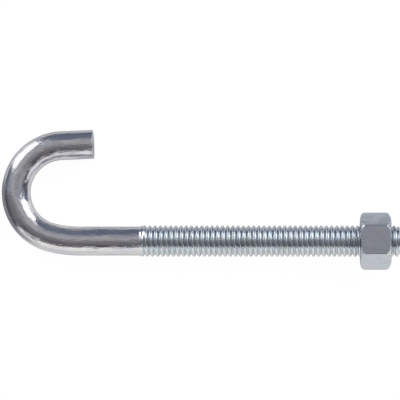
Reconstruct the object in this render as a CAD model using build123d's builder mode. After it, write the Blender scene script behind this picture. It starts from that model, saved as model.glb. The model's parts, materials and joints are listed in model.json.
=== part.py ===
from build123d import *

import os
from math import asin, atan2, cos, hypot, radians, sin, tan

# A hook bolt bent from one round rod, with a rolled thread and one hexagon nut.
#
# Frame: the origin is the centre of the hook's bend. X runs along the thread,
# Y points from the thread to the hook's tip, and Z is up. The bolt lies on its
# side, on one flat of the nut and on the far side of the hook, so it leans a
# little: the nut is fatter than the rod and holds the threaded end up.

# ---------------------------------------------------------------- sizes, in mm
rod_diameter = 8.85
bend_radius = 14.35  # hook, to the rod's centre line
bend_turn = 163  # degrees
ease_radius = 34.6  # gentler curve where the shank runs into the hook
ease_turn = 14.5  # degrees
tip_length = 9.95  # straight end of the hook
tip_break = 0.25  # broken edge of the cut end
shank_length = 18.55  # straight and plain, from the hook to the thread

thread_length = 79.7  # 50 turns and the end's chamfer
thread_diameter = 9.52  # over the crests
run_out = 1.5  # length over which the rolled thread rises out of the rod
end_chamfer = 0.8

nut_across_flats = 15.3
nut_thickness = 9.4
nut_face_diameter = 14.25  # flat ring that the corner chamfer leaves
nut_chamfer_angle = 30  # degrees
nut_edge_radius = 0.35
bore_clearance = 0.1  # between the crests and the nut, on the radius
countersink_depth = 0.7
stick_out = 2.85  # thread that shows past the nut

# ------------------------------------------------------------- worked out sizes
rod_radius = rod_diameter / 2
crest_radius = thread_diameter / 2

# The easing curve is tangent to the bend, so it moves the thread's axis a
# little further from the hook's centre than the bend radius alone.
ease_shift = ease_radius - bend_radius
thread_y = ease_shift * cos(radians(ease_turn)) - ease_radius
shank_start = ease_shift * sin(radians(ease_turn))
thread_start = shank_start + shank_length
thread_end = thread_start + thread_length
nut_outer = thread_end - stick_out
nut_inner = nut_outer - nut_thickness

# The flat that the nut lies on starts just inside the corner chamfer. The bolt
# leans until that edge and the far side of the hook are at the same height.
flat_height = nut_across_flats / 2
chamfer_slope = tan(radians(nut_chamfer_angle))
flat_start = nut_inner + (flat_height - nut_face_diameter / 2) * chamfer_slope
lean_span = flat_start + bend_radius
lean = atan2(flat_height, lean_span) - asin(rod_radius / hypot(flat_height, lean_span))

hook_plane = Plane(
    origin=(0, 0, 0), x_dir=(cos(lean), 0, sin(lean)), z_dir=(-sin(lean), 0, cos(lean))
)


def square_to_thread(distance):
    """Plane across the thread's axis, this far along it from the hook's centre."""
    centre = hook_plane.from_local_coords((distance, thread_y, 0))
    return Plane(origin=centre, x_dir=hook_plane.y_dir, z_dir=hook_plane.x_dir)


def half_section(*outline):
    """Closed outline on the hook's plane, from (distance, radius) pairs."""
    with BuildSketch(hook_plane) as section:
        with BuildLine():
            Polyline(*[(distance, thread_y + radius) for distance, radius in outline], close=True)
        make_face()
    return section.sketch


thread_axis = Axis(square_to_thread(0).origin, hook_plane.x_dir)

# ----------------------------------------------------------------------- j bolt
with BuildPart() as j_bolt:
    with BuildLine(hook_plane) as centre_line:
        shank = Line((thread_start, thread_y), (shank_start, thread_y))
        ease = JernArc(shank @ 1, shank % 1, ease_radius, -ease_turn)
        bend = JernArc(ease @ 1, ease % 1, bend_radius, -bend_turn)
        Line(bend @ 1, bend @ 1 + (bend % 1) * tip_length)
    with BuildSketch(square_to_thread(thread_start)):
        Circle(rod_radius)
    sweep(path=centre_line.line)
    cut_end = faces().filter_by(GeomType.PLANE).sort_by(Axis.Y)[-1]
    chamfer(cut_end.edges(), tip_break)
    threaded_end = half_section(
        (thread_start, 0),
        (thread_start, rod_radius),
        (thread_start + run_out, crest_radius),
        (thread_end - end_chamfer, crest_radius),
        (thread_end, crest_radius - end_chamfer),
        (thread_end, 0),
    )
    revolve(threaded_end, axis=thread_axis)

# ---------------------------------------------------------------------- hex nut
bore_radius = crest_radius + bore_clearance
corner_radius = flat_height / cos(radians(30))
corner_chamfer = (corner_radius - nut_face_diameter / 2) * chamfer_slope

with BuildPart() as hex_nut:
    with BuildSketch(square_to_thread(nut_inner)) as hexagon:
        RegularPolygon(flat_height, 6, major_radius=False)
        fillet(hexagon.vertices(), nut_edge_radius)
    extrude(amount=nut_thickness)
    chamfered_blank = half_section(
        (nut_inner, 0),
        (nut_inner, nut_face_diameter / 2),
        (nut_inner + corner_chamfer, corner_radius),
        (nut_outer - corner_chamfer, corner_radius),
        (nut_outer, nut_face_diameter / 2),
        (nut_outer, 0),
    )
    revolve(chamfered_blank, axis=thread_axis, mode=Mode.INTERSECT)
    bore = half_section(
        (nut_inner, 0),
        (nut_inner, bore_radius + countersink_depth),
        (nut_inner + countersink_depth, bore_radius),
        (nut_outer - countersink_depth, bore_radius),
        (nut_outer, bore_radius + countersink_depth),
        (nut_outer, 0),
    )
    revolve(bore, axis=thread_axis, mode=Mode.SUBTRACT)

# ----------------------------------------------------------------------- output
j_bolt.part.label = "j_bolt"
hex_nut.part.label = "hex_nut"

os.makedirs("parts", exist_ok=True)
export_step(j_bolt.part, "parts/j_bolt.step")
export_step(hex_nut.part, "parts/hex_nut.step")
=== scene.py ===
import json
from math import atan2, ceil, cos, hypot, pi, radians, sin, tan

import bpy
from mathutils import Matrix, Vector


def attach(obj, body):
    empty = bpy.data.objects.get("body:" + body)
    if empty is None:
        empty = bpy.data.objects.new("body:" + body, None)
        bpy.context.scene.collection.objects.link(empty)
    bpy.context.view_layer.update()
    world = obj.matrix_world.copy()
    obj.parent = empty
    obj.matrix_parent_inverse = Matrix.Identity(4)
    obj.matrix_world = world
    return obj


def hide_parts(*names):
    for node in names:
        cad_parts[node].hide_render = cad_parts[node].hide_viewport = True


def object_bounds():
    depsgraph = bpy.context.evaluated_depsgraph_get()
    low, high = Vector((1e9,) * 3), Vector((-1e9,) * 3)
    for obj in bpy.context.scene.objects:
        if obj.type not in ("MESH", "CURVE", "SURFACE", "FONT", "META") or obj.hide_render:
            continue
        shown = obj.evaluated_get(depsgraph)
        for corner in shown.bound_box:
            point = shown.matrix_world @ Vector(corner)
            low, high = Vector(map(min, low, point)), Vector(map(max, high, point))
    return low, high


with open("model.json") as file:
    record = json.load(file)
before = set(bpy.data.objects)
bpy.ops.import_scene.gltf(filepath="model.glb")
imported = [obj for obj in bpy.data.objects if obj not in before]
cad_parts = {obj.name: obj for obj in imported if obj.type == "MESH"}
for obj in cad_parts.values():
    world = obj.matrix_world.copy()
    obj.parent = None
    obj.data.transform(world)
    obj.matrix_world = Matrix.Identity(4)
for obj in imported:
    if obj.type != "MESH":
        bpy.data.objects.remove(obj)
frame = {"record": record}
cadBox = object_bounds()
mm = 0.001

# The solids say where the hook's bend and the thread are, and how far the bolt leans.
# Pieces are made lying level, with the hook's bend at the origin and the thread along X.
mounts = {mount["name"]: mount for mount in frame["record"]["mounts"]}
threadWay = Vector(mounts["thread"]["axis"])
threadY = mounts["thread"]["pos_m"][1]
asItLies = Matrix.Rotation(-atan2(threadWay.z, threadWay.x), 4, "Y")
nutSeat = asItLies.inverted() @ Vector(mounts["nut_seat"]["pos_m"])


# working on one piece at a time

def leaveEditMode():
    if bpy.context.object and bpy.context.object.mode != "OBJECT":
        bpy.ops.object.mode_set(mode="OBJECT")


def pick(piece):
    leaveEditMode()
    bpy.ops.object.select_all(action="DESELECT")
    piece.select_set(True)
    bpy.context.view_layer.objects.active = piece


def edit(piece, wanted=None, kind="VERT"):  # enter edit mode with the wanted part selected
    pick(piece)
    bpy.ops.object.mode_set(mode="EDIT")
    bpy.ops.mesh.select_mode(type=kind)
    bpy.ops.mesh.select_all(action="SELECT" if wanted is None else "DESELECT")
    if wanted is None:
        return
    bpy.ops.object.mode_set(mode="OBJECT")
    parts = piece.data.polygons if kind == "FACE" else piece.data.vertices
    for part in parts:
        part.select = wanted(part.center if kind == "FACE" else part.co)
    bpy.ops.object.mode_set(mode="EDIT")


def turnOutwards(piece):
    edit(piece)
    bpy.ops.mesh.normals_make_consistent(inside=False)
    leaveEditMode()


def applyModifier(piece, modifier):
    pick(piece)
    bpy.ops.object.modifier_apply(modifier=modifier.name)


def applyPlace(piece):
    pick(piece)
    bpy.ops.object.transform_apply(location=True, rotation=True, scale=True)


def named(name):
    piece = bpy.context.object
    piece.name = name
    piece.data.name = name
    return piece


def moveToThread(piece):  # from the X axis out to where the thread runs
    edit(piece)
    bpy.ops.transform.translate(value=(0, threadY, 0))
    leaveEditMode()


def layDown(piece):  # from level to the way the bolt really lies
    piece.matrix_world = asItLies
    applyPlace(piece)


# the thread, for the bolt and for the tap that cuts the nut

thread = dict(
    pitch=25.4 / 16 * mm,
    crestRadius=4.76 * mm,
    crestRounding=0.46 * mm,  # rolled and plated crests are round, not flat
    crestSteps=6,
    flankTurn=radians(60),
    rootHalf=0.08 * mm,
    joinWithin=0.002 * mm,  # each turn's edge meets the next one's
)


def threadProfile(crestRadius):
    # One pitch, from crest to crest: a round crest, a straight flank, a narrow root and back.
    rounding = thread["crestRounding"]
    half = []
    for step in range(thread["crestSteps"] + 1):
        turn = thread["flankTurn"] * step / thread["crestSteps"]
        half.append((rounding * sin(turn), crestRadius - rounding * (1 - cos(turn))))
    flankStart, flankRadius = half[-1]
    flankEnd = thread["pitch"] / 2 - thread["rootHalf"]
    rootRadius = flankRadius - (flankEnd - flankStart) * tan(thread["flankTurn"])
    half.append((flankEnd, rootRadius))
    return half + [(thread["pitch"] - x, radius) for x, radius in reversed(half)]


def screwThread(name, startX, turns, stepsAround, profile):
    bpy.ops.mesh.primitive_plane_add(size=mm)
    piece = named(name)
    edit(piece)
    bpy.ops.mesh.merge(type="CENTER")
    bpy.ops.transform.translate(value=(startX, profile[0][1], 0))
    for here, there in zip(profile, profile[1:]):
        stride = (there[0] - here[0], there[1] - here[1], 0)
        bpy.ops.mesh.extrude_vertices_move(TRANSFORM_OT_translate={"value": stride})
    leaveEditMode()
    turning = piece.modifiers.new("turns", "SCREW")
    turning.axis = "X"
    turning.angle = 2 * pi
    turning.screw_offset = thread["pitch"]
    turning.steps = turning.render_steps = stepsAround
    turning.iterations = turns
    applyModifier(piece, turning)
    edit(piece)
    bpy.ops.mesh.remove_doubles(threshold=thread["joinWithin"])
    leaveEditMode()
    return piece


def sawOff(piece, x, side):  # square across; what lies to that side goes, and the new rim stays selected
    edit(piece)
    cutting = dict(plane_co=(x, 0, 0), plane_no=(1, 0, 0), threshold=1e-4 * mm)
    bpy.ops.mesh.bisect(clear_inner=side < 0, clear_outer=side > 0, **cutting)


def turnDown(piece, radiusAt):  # like a lathe: each point gets the radius that radiusAt gives
    for vertex in piece.data.vertices:
        radius = hypot(vertex.co.y, vertex.co.z)
        if radius > 0:
            scale = radiusAt(vertex.co.x, radius) / radius
            vertex.co.y *= scale
            vertex.co.z *= scale


def fade(x):  # smooth from 0 to 1
    x = min(max(x, 0.0), 1.0)
    return x * x * (3 - 2 * x)


# the bolt: thread, shank, easing curve, hook, sheared tip

bolt = dict(
    rodRadius=4.425 * mm,
    bendRadius=14.35 * mm,
    bendTurn=radians(163),
    easeRadius=34.6 * mm,
    easeTurn=radians(14.5),
    tipLength=9.95 * mm,
    shankLength=18.55 * mm,
    threadLength=79.7 * mm,
    swellTurns=0.64,  # turns over which the rod swells to the thread's crests
    grooveStart=0.35,
    grooveTurns=0.9,  # turns over which the groove gets its full depth
    endChamfer=0.8 * mm,
    # size against the last ring, and how far inwards: rolling leaves the end a little hollow
    endRings=[(0.94, 0), (0.7, 0.35 * mm), (0.4, 0.35 * mm)],
    tipBurr=0.05 * mm,  # shearing leaves the tip's rim a little proud
    tipRim=0.2 * mm,  # and rounded over
    # size against the last ring, and how far outwards: the rounded rim, then the sheared face
    tipRings=[(0.99, 0.1 * mm), (0.984, 0.06 * mm), (0.975, 0.03 * mm),
              (0.93, -0.05 * mm), (0.6, 0.02 * mm), (0.4, 0)],
    stepsAround=80,
    rimSpacing=0.12 * mm,  # points of the shank's rim that are nearer than this become one
    shankSteps=10,
    easeSteps=8,
    bendSteps=80,
    tipSteps=6,
)
easeShift = bolt["easeRadius"] - bolt["bendRadius"]
shankStart = easeShift * sin(bolt["easeTurn"])
threadStart = shankStart + bolt["shankLength"]
threadEnd = threadStart + bolt["threadLength"]
easeCentre = Vector((shankStart, threadY + bolt["easeRadius"], 0))
easeLength = bolt["easeRadius"] * bolt["easeTurn"]
bendLength = bolt["bendRadius"] * bolt["bendTurn"]
wholeTurn = bolt["easeTurn"] + bolt["bendTurn"]
tipWay = Vector((-cos(wholeTurn), sin(wholeTurn), 0))
bendEndWay = Vector((-sin(wholeTurn), -cos(wholeTurn), 0))  # from the hook's centre to the bend's end


def closeEnd(rimCentre, way, rings):  # extrudes ring after ring from the selected rim, and fills the last
    for size, along in rings:
        bpy.ops.mesh.extrude_region_move(TRANSFORM_OT_translate={"value": way * along})
        rimCentre = rimCentre + way * along
        bpy.ops.transform.resize(value=(size, size, size), center_override=rimCentre)
    bpy.ops.mesh.edge_face_add()


def makeThreadedEnd():
    startX = threadStart - thread["pitch"]
    turns = ceil(bolt["threadLength"] / thread["pitch"]) + 2  # one to spare at each end
    profile = threadProfile(thread["crestRadius"])
    piece = screwThread("plated_bolt", startX, turns, bolt["stepsAround"], profile)
    swell = thread["crestRadius"] - bolt["rodRadius"]
    chamferStart = threadEnd - bolt["endChamfer"]

    def radiusAt(x, radius):
        turnsIn = (x - threadStart) / thread["pitch"]
        blank = bolt["rodRadius"] + swell * min(max(turnsIn / bolt["swellTurns"], 0), 1)
        depthShare = fade((turnsIn - bolt["grooveStart"]) / bolt["grooveTurns"])
        groove = (thread["crestRadius"] - radius) * depthShare
        return min(blank - groove, thread["crestRadius"] - max(x - chamferStart, 0))

    turnDown(piece, radiusAt)
    sawOff(piece, threadStart, -1)
    sawOff(piece, threadEnd, 1)
    closeEnd(Vector((threadEnd, 0, 0)), Vector((-1, 0, 0)), bolt["endRings"])
    leaveEditMode()
    return piece


def extrudeRim(stride, steps):
    for _ in range(steps):
        bpy.ops.mesh.extrude_region_move(TRANSFORM_OT_translate={"value": stride / steps})


def bendRod(piece):  # carries the rim where the thread starts along the shank and round the hook
    edit(piece, lambda co: co.x < threadStart + 0.001 * mm)
    bpy.ops.mesh.remove_doubles(threshold=bolt["rimSpacing"])
    bpy.ops.mesh.select_mode(type="EDGE")
    extrudeRim(Vector((shankStart - threadStart, 0, 0)), bolt["shankSteps"])
    bpy.ops.mesh.spin(steps=bolt["easeSteps"], angle=bolt["easeTurn"], center=easeCentre, axis=(0, 0, 1))
    bpy.ops.mesh.spin(steps=bolt["bendSteps"], angle=bolt["bendTurn"], center=(0, 0, 0), axis=(0, 0, 1))
    straight = bolt["tipLength"] - bolt["tipRim"]
    extrudeRim(tipWay * straight, bolt["tipSteps"])
    tipCentre = bendEndWay * bolt["bendRadius"] + tipWay * straight
    proud = 1 + bolt["tipBurr"] / bolt["rodRadius"]
    bpy.ops.transform.resize(value=(proud, proud, proud), center_override=tipCentre)
    closeEnd(tipCentre, tipWay, bolt["tipRings"])
    leaveEditMode()


def makeBolt():
    piece = makeThreadedEnd()
    moveToThread(piece)
    bendRod(piece)
    turnOutwards(piece)
    print("bolt:", len(piece.data.polygons), "faces")
    return piece


def straightened(co):  # where a point would lie if the rod had never been bent: along, sideways and up
    if co.y < 0 and co.x >= shankStart:
        return Vector((co.x, co.y - threadY, co.z))
    toEase = co - easeCentre
    turned = atan2(-toEase.x, -toEase.y)
    if co.y < 0 and turned < bolt["easeTurn"]:
        sideways = bolt["easeRadius"] - hypot(toEase.x, toEase.y)
        return Vector((shankStart - bolt["easeRadius"] * turned, sideways, co.z))
    turned = atan2(-co.x, -co.y) - bolt["easeTurn"]
    if -0.5 < turned < bolt["bendTurn"]:  # along the tip the angle jumps back by a whole turn, far below this
        sideways = bolt["bendRadius"] - hypot(co.x, co.y)
        return Vector((shankStart - easeLength - bolt["bendRadius"] * turned, sideways, co.z))
    sideways = bolt["bendRadius"] - co.dot(bendEndWay)
    return Vector((shankStart - easeLength - bendLength - co.dot(tipWay), sideways, co.z))


def keepStraightened(piece):
    layer = piece.data.attributes.new("straightRod", "FLOAT_VECTOR", "POINT")
    for vertex in piece.data.vertices:
        layer.data[vertex.index].vector = straightened(vertex.co)


# the nut: a hexagon turned down at both faces, then tapped

nut = dict(
    acrossFlats=15.3 * mm,
    thickness=9.4 * mm,
    # mm in from the face and mm of radius: the end towards the hook is the squarer one
    innerTaper=[(1.7, 8.86), (1.38, 8.86), (0.97, 8.66), (0.52, 8.38), (0.2, 7.88), (0, 7.15)],
    outerTaper=[(1.7, 8.86), (1.6, 8.86), (1.15, 8.62), (0.65, 8.28), (0.28, 7.58), (0, 6.9)],
    cornerRounding=0.27 * mm,
    edgeRounding=0.12 * mm,
    countersink=0.7 * mm,
    threadSpare=0.1 * mm,
    tapTurns=10,
    tapSteps=64,
    tapOverhang=0.5 * mm,
)
nutInner = nutSeat.x
nutOuter = nutInner + nut["thickness"]
nutMiddle = (nutInner + nutOuter) / 2


def cut(piece, tool, operation):
    cutting = piece.modifiers.new("cut", "BOOLEAN")
    cutting.operation = operation
    cutting.solver = "EXACT"
    cutting.object = tool
    applyModifier(piece, cutting)
    bpy.data.objects.remove(tool)


def roundEdges(piece, width, segments, sharperThan):
    rounding = piece.modifiers.new("rounding", "BEVEL")
    rounding.width = width
    rounding.segments = segments
    rounding.limit_method = "ANGLE"
    rounding.angle_limit = sharperThan
    applyModifier(piece, rounding)


def makeBar(name, sides, radius, length):  # along X, round the nut's middle
    bpy.ops.mesh.primitive_cylinder_add(
        vertices=sides, radius=radius, depth=length, rotation=(0, pi / 2, 0), location=(nutMiddle, 0, 0))
    bar = named(name)
    applyPlace(bar)
    return bar


def makeHexagon():
    cornerRadius = nut["acrossFlats"] / 2 / cos(radians(30))
    piece = makeBar("plated_nut", sides=6, radius=cornerRadius, length=nut["thickness"])
    highest = max(vertex.co.z for vertex in piece.data.vertices)
    if highest > cornerRadius * 0.99:  # a flat has to lie on the floor, not a corner
        edit(piece)
        bpy.ops.transform.rotate(value=radians(30), orient_axis="X", center_override=(nutMiddle, 0, 0))
        leaveEditMode()
    roundEdges(piece, nut["cornerRounding"], segments=4, sharperThan=radians(50))
    return piece


def makeBlank():  # takes the corners off in a full curve, at both faces
    depth, radius = nut["innerTaper"][0]
    blank = makeBar("blank", sides=144, radius=radius * mm, length=nut["thickness"] - 2 * depth * mm)
    for side, taper in ((-1, nut["innerTaper"]), (1, nut["outerTaper"])):
        edit(blank, lambda co: side * (co.x - nutMiddle) > 0 and hypot(co.y, co.z) < mm, kind="FACE")
        for here, there in zip(taper, taper[1:]):
            stride = (side * (here[0] - there[0]) * mm, 0, 0)
            bpy.ops.mesh.extrude_region_move(TRANSFORM_OT_translate={"value": stride})
            squeeze = there[1] / here[1]
            bpy.ops.transform.resize(value=(1, squeeze, squeeze), center_override=(nutMiddle, 0, 0))
    leaveEditMode()
    return blank


def makeTap():  # in step with the bolt's thread
    crest = thread["crestRadius"] + nut["threadSpare"]
    pitch = thread["pitch"]
    turnsIn = int((nutInner - threadStart) / pitch) - 1
    startX = threadStart - pitch + turnsIn * pitch
    tap = screwThread("tap", startX, nut["tapTurns"], nut["tapSteps"], threadProfile(crest))
    mouth = crest + nut["countersink"]

    def radiusAt(x, radius):
        return max(radius, mouth - (x - nutInner), mouth - (nutOuter - x))

    turnDown(tap, radiusAt)
    for end, side in ((nutInner, -1), (nutOuter, 1)):
        sawOff(tap, end + side * nut["tapOverhang"], side)
        bpy.ops.mesh.edge_face_add()
    turnOutwards(tap)
    return tap


def makeNut():
    piece = makeHexagon()
    cut(piece, makeBlank(), "INTERSECT")
    cut(piece, makeTap(), "DIFFERENCE")
    roundEdges(piece, nut["edgeRounding"], segments=3, sharperThan=radians(24))
    moveToThread(piece)
    print("nut:", len(piece.data.polygons), "faces")
    return piece


boltPiece = makeBolt()
keepStraightened(boltPiece)
nutPiece = makeNut()
for piece in (boltPiece, nutPiece):
    layDown(piece)
    pick(piece)
    bpy.ops.object.shade_smooth_by_angle(angle=radians(35))
flats = nutPiece.modifiers.new("flats", "WEIGHTED_NORMAL")  # the nut's flats look flat up to their edges
flats.keep_sharp = True
applyModifier(nutPiece, flats)


# nodes, added to one tree at a time

def clearTree(owner):  # of a material or the world
    owner.use_nodes = True
    owner.node_tree.nodes.clear()
    return owner.node_tree


def add(tree, kind, **settings):
    node = tree.nodes.new(kind)
    for key, value in settings.items():
        setattr(node, key, value)
    return node


def feed(socket, value):  # with another socket or a plain value
    if isinstance(value, bpy.types.NodeSocket):
        socket.id_data.links.new(value, socket)
    else:
        socket.default_value = value


def calc(tree, operation, a, b=0.0):
    node = add(tree, "ShaderNodeMath", operation=operation)
    feed(node.inputs[0], a)
    feed(node.inputs[1], b)
    return node.outputs[0]


def between(tree, value, start, end):  # 0 before start, 1 past end, smooth in between
    node = add(tree, "ShaderNodeMapRange", interpolation_type="SMOOTHSTEP")
    feed(node.inputs["Value"], value)
    feed(node.inputs["From Min"], start)
    feed(node.inputs["From Max"], end)
    return node.outputs["Result"]


def blendColours(tree, share, first, second):
    node = add(tree, "ShaderNodeMix", data_type="RGBA")
    feed(node.inputs["Factor"], share)
    feed(node.inputs[6], first)
    feed(node.inputs[7], second)
    return node.outputs[2]


def calcVector(tree, operation, a, b=(0, 0, 0)):
    node = add(tree, "ShaderNodeVectorMath", operation=operation)
    feed(node.inputs[0], a)
    feed(node.inputs[1], b)
    return node.outputs["Value" if operation == "LENGTH" else "Vector"]


def joinXYZ(tree, *values):
    node = add(tree, "ShaderNodeCombineXYZ")
    for socket, value in zip(node.inputs, values):
        feed(socket, value)
    return node.outputs[0]


def splitXYZ(tree, vector):
    node = add(tree, "ShaderNodeSeparateXYZ")
    feed(node.inputs[0], vector)
    return node.outputs


def noise(tree, where, detail=2.0, roughness=0.5):
    node = add(tree, "ShaderNodeTexNoise")
    feed(node.inputs["Vector"], where)
    feed(node.inputs["Scale"], 1.0)
    feed(node.inputs["Detail"], detail)
    feed(node.inputs["Roughness"], roughness)
    return node.outputs["Fac"]


def layZones(tree, colour, zones, measures):
    # Each zone is a colour and the measures between which it comes in, and lies over the ones before.
    for zoneColour, limits in zones:
        share = 1.0
        for measure, start, end in limits:
            share = calc(tree, "MULTIPLY", share, between(tree, measures[measure], start, end))
        colour = blendColours(tree, share, colour, zoneColour)
    return colour


# finishes

plating = dict(
    rod=dict(
        colours=[(0.77, 0.765, 0.785, 1), (0.68, 0.69, 0.75, 1), (0.80, 0.775, 0.785, 1)],
        cloudLength=9 * mm,
        cloudWidth=1.1 * mm,
        streakLength=4 * mm,
        streakWidth=0.4 * mm,
        pitSize=0.6 * mm,
        depth=0.085 * mm,
        roughness=(0.06, 0.17),  # where it is smooth, and in the duller patches
    ),
    thread=dict(
        colours=[(0.74, 0.80, 0.86, 1), (0.73, 0.78, 0.76, 1), (0.79, 0.77, 0.80, 1)],
        cloudLength=1.7 * mm,
        cloudWidth=1.7 * mm,
        start=(threadStart - 0.5 * mm, threadStart + 1.5 * mm),
        # painted shade: the thread's grooves get a darker colour, from the first radius inwards to the second
        grooveShadeColour=(0.68, 0.74, 0.79, 1),
        grooveShadeRadius=(4.6 * mm, 4.1 * mm),
        extraRoughness=0.11,
        lessGrain=0.75,
    ),
    nut=dict(
        colours=[(0.62, 0.68, 0.75, 1), (0.65, 0.66, 0.73, 1), (0.66, 0.71, 0.73, 1)],
        cloudLength=2.6 * mm,
        cloudWidth=1.8 * mm,
        streakLength=3 * mm,
        streakWidth=0.7 * mm,
        pitSize=0.6 * mm,
        depth=0.012 * mm,
        roughness=(0.16, 0.30),
    ),
)
grain = dict(
    peel=0.45,
    pits=0.12,
    pitEdges=(0.60, 0.75),
    patchStretch=(0.12, 0.3, 0.3),  # against the pits
    patchEdges=(0.36, 0.64),
    calmest=0.5,  # grain left outside the patches
    patchGrain=0.7,  # and what a patch adds
)
clouds = dict(
    secondEdges=(0.40, 0.60),
    thirdEdges=(0.50, 0.66),
    thirdPlace=(31, 17, 5),  # far enough away for clouds of another shape
)


def newGroup(name, inputs, outputs):
    group = bpy.data.node_groups.new(name, "ShaderNodeTree")
    for way, sockets in (("INPUT", inputs), ("OUTPUT", outputs)):
        for label, kind in sockets:
            group.interface.new_socket(label, in_out=way, socket_type="NodeSocket" + kind)
    return group


def makeGrainGroup():  # the marks of drawing and barrel plating: long streaks, pits and duller patches
    group = newGroup(
        "drawnGrain",
        [("Where", "Vector"), ("Streak Length", "Float"), ("Streak Width", "Float"), ("Pit Size", "Float")],
        [("Height", "Float"), ("Patches", "Float")])
    where, length, width, pitSize = add(group, "NodeGroupInput").outputs[:4]
    streakPlace = calcVector(group, "DIVIDE", where, joinXYZ(group, length, width, width))
    pitPlace = calcVector(group, "DIVIDE", where, joinXYZ(group, pitSize, pitSize, pitSize))
    streaks = noise(group, streakPlace, detail=3.0, roughness=0.6)
    peel = noise(group, pitPlace, detail=1.0)
    pits = between(group, noise(group, pitPlace), *grain["pitEdges"])
    patchPlace = calcVector(group, "MULTIPLY", pitPlace, grain["patchStretch"])
    patches = between(group, noise(group, patchPlace), *grain["patchEdges"])
    height = calc(group, "ADD", streaks, calc(group, "MULTIPLY", peel, grain["peel"]))
    strength = calc(group, "ADD", calc(group, "MULTIPLY", patches, grain["patchGrain"]), grain["calmest"])
    height = calc(group, "MULTIPLY", height, strength)
    height = calc(group, "SUBTRACT", height, calc(group, "MULTIPLY", pits, grain["pits"]))
    result = add(group, "NodeGroupOutput")
    feed(result.inputs["Height"], height)
    feed(result.inputs["Patches"], patches)
    return group


def makeTintGroup():  # thin plating shows faint colours in soft clouds
    group = newGroup(
        "platingTint",
        [("Where", "Vector"), ("Cloud Length", "Float"), ("Cloud Width", "Float"),
         ("First Color", "Color"), ("Second Color", "Color"), ("Third Color", "Color")],
        [("Color", "Color")])
    where, length, width, first, second, third = add(group, "NodeGroupInput").outputs[:6]
    place = calcVector(group, "DIVIDE", where, joinXYZ(group, length, width, width))
    colour = blendColours(group, between(group, noise(group, place), *clouds["secondEdges"]), first, second)
    place = calcVector(group, "ADD", place, clouds["thirdPlace"])
    colour = blendColours(group, between(group, noise(group, place), *clouds["thirdEdges"]), colour, third)
    result = add(group, "NodeGroupOutput")
    feed(result.inputs["Color"], colour)
    return group


grainGroup = makeGrainGroup()
tintGroup = makeTintGroup()


def startMetal(name):
    material = bpy.data.materials.new(name)
    tree = clearTree(material)
    shader = add(tree, "ShaderNodeBsdfPrincipled")
    feed(shader.inputs["Metallic"], 1.0)
    output = add(tree, "ShaderNodeOutputMaterial")
    feed(output.inputs["Surface"], shader.outputs[0])
    return material, tree, shader


def tinted(tree, where, facts):
    node = add(tree, "ShaderNodeGroup", node_tree=tintGroup)
    feed(node.inputs["Where"], where)
    feed(node.inputs["Cloud Length"], facts["cloudLength"])
    feed(node.inputs["Cloud Width"], facts["cloudWidth"])
    for label, colour in zip(("First Color", "Second Color", "Third Color"), facts["colours"]):
        feed(node.inputs[label], colour)
    return node.outputs["Color"]


def drawn(tree, shader, where, facts, depth):  # gives the shader its bumps, and returns the roughness
    node = add(tree, "ShaderNodeGroup", node_tree=grainGroup)
    feed(node.inputs["Where"], where)
    feed(node.inputs["Streak Length"], facts["streakLength"])
    feed(node.inputs["Streak Width"], facts["streakWidth"])
    feed(node.inputs["Pit Size"], facts["pitSize"])
    bump = add(tree, "ShaderNodeBump")
    feed(bump.inputs["Height"], node.outputs["Height"])
    feed(bump.inputs["Distance"], depth)
    feed(shader.inputs["Normal"], bump.outputs[0])
    smooth, dull = facts["roughness"]
    return calc(tree, "ADD", calc(tree, "MULTIPLY", node.outputs["Patches"], dull - smooth), smooth)


def makeRodMaterial():
    rod = plating["rod"]
    threaded = plating["thread"]
    material, tree, shader = startMetal("bright_zinc_rod")
    where = add(tree, "ShaderNodeAttribute", attribute_name="straightRod").outputs["Vector"]
    onThread = between(tree, splitXYZ(tree, where)[0], *threaded["start"])
    radius = calcVector(tree, "LENGTH", calcVector(tree, "MULTIPLY", where, (0, 1, 1)))
    # painted shade in the thread's grooves
    inGrooveShade = calc(tree, "MULTIPLY", onThread, between(tree, radius, *threaded["grooveShadeRadius"]))
    colour = blendColours(tree, onThread, tinted(tree, where, rod), tinted(tree, where, threaded))
    feed(shader.inputs["Base Color"], blendColours(tree, inGrooveShade, colour, threaded["grooveShadeColour"]))
    grainLeft = calc(tree, "SUBTRACT", 1.0, calc(tree, "MULTIPLY", onThread, threaded["lessGrain"]))
    roughness = drawn(tree, shader, where, rod, calc(tree, "MULTIPLY", grainLeft, rod["depth"]))
    duller = calc(tree, "MULTIPLY", onThread, threaded["extraRoughness"])
    feed(shader.inputs["Roughness"], calc(tree, "ADD", roughness, duller))
    return material


def makeNutMaterial():
    facts = plating["nut"]
    material, tree, shader = startMetal("bright_zinc_nut")
    where = add(tree, "ShaderNodeTexCoord").outputs["Object"]
    feed(shader.inputs["Base Color"], tinted(tree, where, facts))
    feed(shader.inputs["Roughness"], drawn(tree, shader, where, facts, facts["depth"]))
    return material


for piece, material in ((boltPiece, makeRodMaterial()), (nutPiece, makeNutMaterial())):
    piece.data.materials.clear()
    piece.data.materials.append(material)
print("finishes made")

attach(boltPiece, "bolt")
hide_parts("j_bolt")
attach(nutPiece, "nut")
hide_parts("hex_nut")
low, high = cadBox
centre = (Vector(low) + Vector(high)) / 2


# the floor: evenly white paper where it is seen; where the metal shows it, painted reflections instead: a
# table with painted light and shade on it, and a darker room behind

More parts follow.
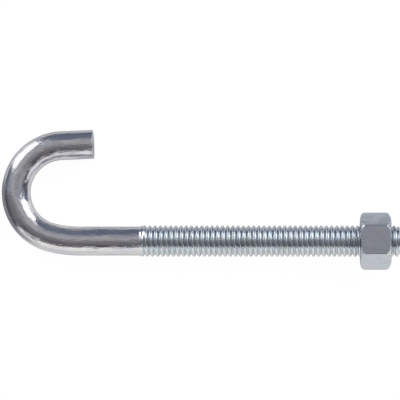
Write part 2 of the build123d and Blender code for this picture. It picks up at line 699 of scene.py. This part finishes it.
paper = dict(
    colour=(0.9, 0.9, 0.9, 1),
    whiteness=1.12,
    whiteShare=0.85,  # the rest is lit paper, which keeps the bolt's shadow
    gap=0.02 * mm,
    sheenRoughness=0.08,
    sheenAngles=(0.74, 0.84),  # how glancing it is before the paper mirrors the room
    # painted contact shade in what the metal shows of the floor: how far it reaches and how strong it is
    shadeReach=9 * mm,
    shadeShare=0.8,
    paintedBackColour=(0.575, 0.58, 0.61, 1),  # painted shade: the paper behind the thread, darker as the metal shows it
    slant=(8 * mm, 22 * mm),  # between these the painted table's back edge comes nearer, by slantDepth
    slantDepth=30 * mm,
    # centre of the painted pool of light inside the hook
    hookLightPool=(-2 * mm, 0, 0),
    zones=[
        ((0.78, 0.775, 0.765, 1), [("back", threadY + 2 * mm, threadY - 2 * mm)]),  # painted light: the paper in front of the thread, brighter as the metal shows it
        ((0.29, 0.29, 0.31, 1), [("right", -12 * mm, -20 * mm), ("back", 9 * mm, 3 * mm)]),  # painted shade: the paper at the left, darker as the metal shows it
        ((0.80, 0.80, 0.80, 1), [("fromLightPool", 10 * mm, 5 * mm)]),  # painted pool of light inside the hook, as the metal shows it
        ((0.115, 0.13, 0.18, 1), [("right", -38 * mm, -62 * mm)]),  # painted reflection of the darker room past the table's left edge
        ((0.115, 0.13, 0.18, 1), [("slanting", 41 * mm, 47 * mm)]),  # and past its back edge
    ],
)


def mixShaders(tree, share, first, second):
    node = add(tree, "ShaderNodeMixShader")
    feed(node.inputs["Fac"], share)
    feed(node.inputs[1], first.outputs[0])
    feed(node.inputs[2], second.outputs[0])
    return node


# painted reflections: the colour the metal shows of the floor is laid in zones by place, with painted contact
# shade near the bolt; at glancing angles a real gloss takes over
def paintedPaperInMetal(tree, floorPlace):
    place = calcVector(tree, "ADD", add(tree, "ShaderNodeTexCoord").outputs["Object"], floorPlace)
    x, y = splitXYZ(tree, place)[:2]
    toLightPool = calcVector(tree, "MULTIPLY", calcVector(tree, "SUBTRACT", place, paper["hookLightPool"]), (1, 1, 0))
    slant = calc(tree, "MULTIPLY", between(tree, x, *paper["slant"]), paper["slantDepth"])
    measures = dict(
        right=x, back=y, fromLightPool=calcVector(tree, "LENGTH", toLightPool), slanting=calc(tree, "ADD", y, slant))
    colour = layZones(tree, paper["paintedBackColour"], paper["zones"], measures)
    # painted contact shade: within shadeReach of the bolt the colour darkens, by shadeShare
    nearby = add(tree, "ShaderNodeAmbientOcclusion", samples=8)
    feed(nearby.inputs["Distance"], paper["shadeReach"])
    feed(nearby.inputs["Color"], colour)
    shown = add(tree, "ShaderNodeEmission")
    feed(shown.inputs["Color"], blendColours(tree, paper["shadeShare"], colour, nearby.outputs["Color"]))
    sheen = add(tree, "ShaderNodeBsdfGlossy")
    feed(sheen.inputs["Roughness"], paper["sheenRoughness"])
    facing = add(tree, "ShaderNodeLayerWeight")
    feed(facing.inputs["Blend"], 0.5)
    glancing = between(tree, facing.outputs["Facing"], *paper["sheenAngles"])
    return mixShaders(tree, glancing, shown, sheen)


def makeFloor():
    floorPlace = Vector((centre.x, centre.y, low[2] - paper["gap"]))
    bpy.ops.mesh.primitive_plane_add(size=2.0, location=floorPlace)
    floor = named("paper_floor")
    material = bpy.data.materials.new("white_paper")
    tree = clearTree(material)
    path = add(tree, "ShaderNodeLightPath")
    lit = add(tree, "ShaderNodeBsdfDiffuse")
    feed(lit.inputs["Color"], paper["colour"])
    white = add(tree, "ShaderNodeEmission")
    feed(white.inputs["Strength"], paper["whiteness"])
    whiteShare = calc(tree, "MULTIPLY", path.outputs["Is Camera Ray"], paper["whiteShare"])
    seen = mixShaders(tree, whiteShare, lit, white)
    both = mixShaders(tree, path.outputs["Is Glossy Ray"], seen, paintedPaperInMetal(tree, floorPlace))
    output = add(tree, "ShaderNodeOutputMaterial")
    feed(output.inputs["Surface"], both.outputs[0])
    floor.data.materials.append(material)


# The room that the metal shows, painted by direction. Back and up are parts of a direction of length 1.
# Right is its share to that side as seen from above, and aside is the same for both sides.

room = dict(
    overhead=(0.42, 0.42, 0.44, 1),
    overheadFront=(0.20, 0.19, 0.20, 1),
    skirtBack=(0.15, 0.17, 0.23, 1),
    skirtFront=(0.10, 0.095, 0.105, 1),
    backTop=(0.64, 0.90),
    frontTop=(0.74, 0.9),
    sideRise=0.25,  # the back's top comes lower at both sides
    frontToBack=(-0.01, 0.11),
    panelWay=radians(279),
    crownWay=radians(256),
    crownWidth=(cos(radians(26)), cos(radians(14))),
    crownHeight=0.16,
    zones=[
        # paler beside the softboxes, at both sides
        ((0.42, 0.43, 0.46, 1),
         [("aside", 0.86, 0.95), ("back", -0.05, 0.12), ("up", 0.72, 0.5), ("up", 0.26, 0.42)]),
        # in front of the softboxes, high at the right
        ((0.36, 0.36, 0.38, 1),
         [("right", 0.72, 0.90), ("back", 0.25, 0.12), ("up", 0.55, 0.66)]),
        # and at the left
        ((0.21, 0.21, 0.225, 1),
         [("right", -0.80, -0.92), ("back", 0.05, -0.08), ("up", 0.9, 0.8), ("up", 0.2, 0.4)]),
        # a long white panel in front, from the floor up to about 25 degrees, with a higher crown
        ((0.95, 0.945, 0.93, 1),
         [("panel", cos(radians(69)), cos(radians(62))), ("underCrown", 0.43, 0.38)]),
    ],
)


def makeWorld():
    world = bpy.data.worlds.new("studio")
    bpy.context.scene.world = world
    tree = clearTree(world)
    x, y, z = splitXYZ(tree, add(tree, "ShaderNodeTexCoord").outputs["Generated"])
    aside = calc(tree, "MULTIPLY", calc(tree, "ABSOLUTE", x), room["sideRise"])
    backShare = between(tree, calc(tree, "ADD", z, aside), *room["backTop"])
    back = blendColours(tree, backShare, room["skirtBack"], room["overhead"])
    frontShare = between(tree, z, *room["frontTop"])
    front = blendColours(tree, frontShare, room["skirtFront"], room["overheadFront"])
    colour = blendColours(tree, between(tree, y, *room["frontToBack"]), front, back)
    level = calc(tree, "SQRT", calc(tree, "SUBTRACT", 1.0, calc(tree, "MULTIPLY", z, z)))

    def towards(azimuth):  # 1 straight towards it, less to both sides
        along = calc(tree, "MULTIPLY", x, cos(azimuth))
        along = calc(tree, "ADD", along, calc(tree, "MULTIPLY", y, sin(azimuth)))
        return calc(tree, "DIVIDE", along, level)

    right = calc(tree, "DIVIDE", x, level)
    crown = between(tree, towards(room["crownWay"]), *room["crownWidth"])
    measures = dict(
        right=right, aside=calc(tree, "ABSOLUTE", right), back=y, up=z, panel=towards(room["panelWay"]),
        underCrown=calc(tree, "SUBTRACT", z, calc(tree, "MULTIPLY", crown, room["crownHeight"])))
    background = add(tree, "ShaderNodeBackground")
    feed(background.inputs["Color"], layZones(tree, colour, room["zones"], measures))
    output = add(tree, "ShaderNodeOutputWorld")
    feed(output.inputs["Surface"], background.outputs[0])


# lights and camera

lights = dict(  # azimuth, elevation, width and height in degrees, brightness where 1 is white
    right_softbox=(38, 29, 31, 48, 2.0),
    left_softbox=(137, 22, 30, 38, 1.7),
)
lightDistance = 0.8
view = dict(
    elevation=radians(85.8),
    roll=radians(0.13),
    lensMm=250,
    sensorMm=36,
    width=122.7 * mm,
    aimShift=-0.1 * mm,
)


def makeSoftbox(name, azimuth, elevation, width, height, brightness):
    azimuth, elevation = radians(azimuth), radians(elevation)
    way = Vector((cos(azimuth) * cos(elevation), sin(azimuth) * cos(elevation), sin(elevation)))
    bpy.ops.object.light_add(type="AREA", location=centre + way * lightDistance)
    light = bpy.context.object
    light.name = name
    light.data.shape = "RECTANGLE"
    light.data.size = 2 * lightDistance * tan(radians(width / 2))
    light.data.size_y = 2 * lightDistance * tan(radians(height / 2))
    light.data.energy = brightness * pi * light.data.size * light.data.size_y
    light.rotation_euler = way.to_track_quat("Z", "Y").to_euler()
    light.visible_camera = False


def makeCamera():
    distance = view["width"] * view["lensMm"] / view["sensorMm"]
    tilt = view["elevation"]
    aim = Vector((centre.x + view["aimShift"], centre.y, 0))
    place = aim + Vector((0, -cos(tilt), sin(tilt))) * distance
    bpy.ops.object.camera_add(location=place, rotation=(radians(90) - tilt, 0, view["roll"]))
    camera = bpy.context.object
    camera.name = "camera"
    camera.data.lens = view["lensMm"]
    camera.data.sensor_width = view["sensorMm"]
    camera.data.clip_start = 0.01
    camera.data.clip_end = 20
    bpy.context.scene.camera = camera


makeFloor()
makeWorld()
for name, facts in lights.items():
    makeSoftbox(name, *facts)
makeCamera()
bpy.context.scene.view_settings.view_transform = "Standard"
print("floor, room, lights and camera placed")
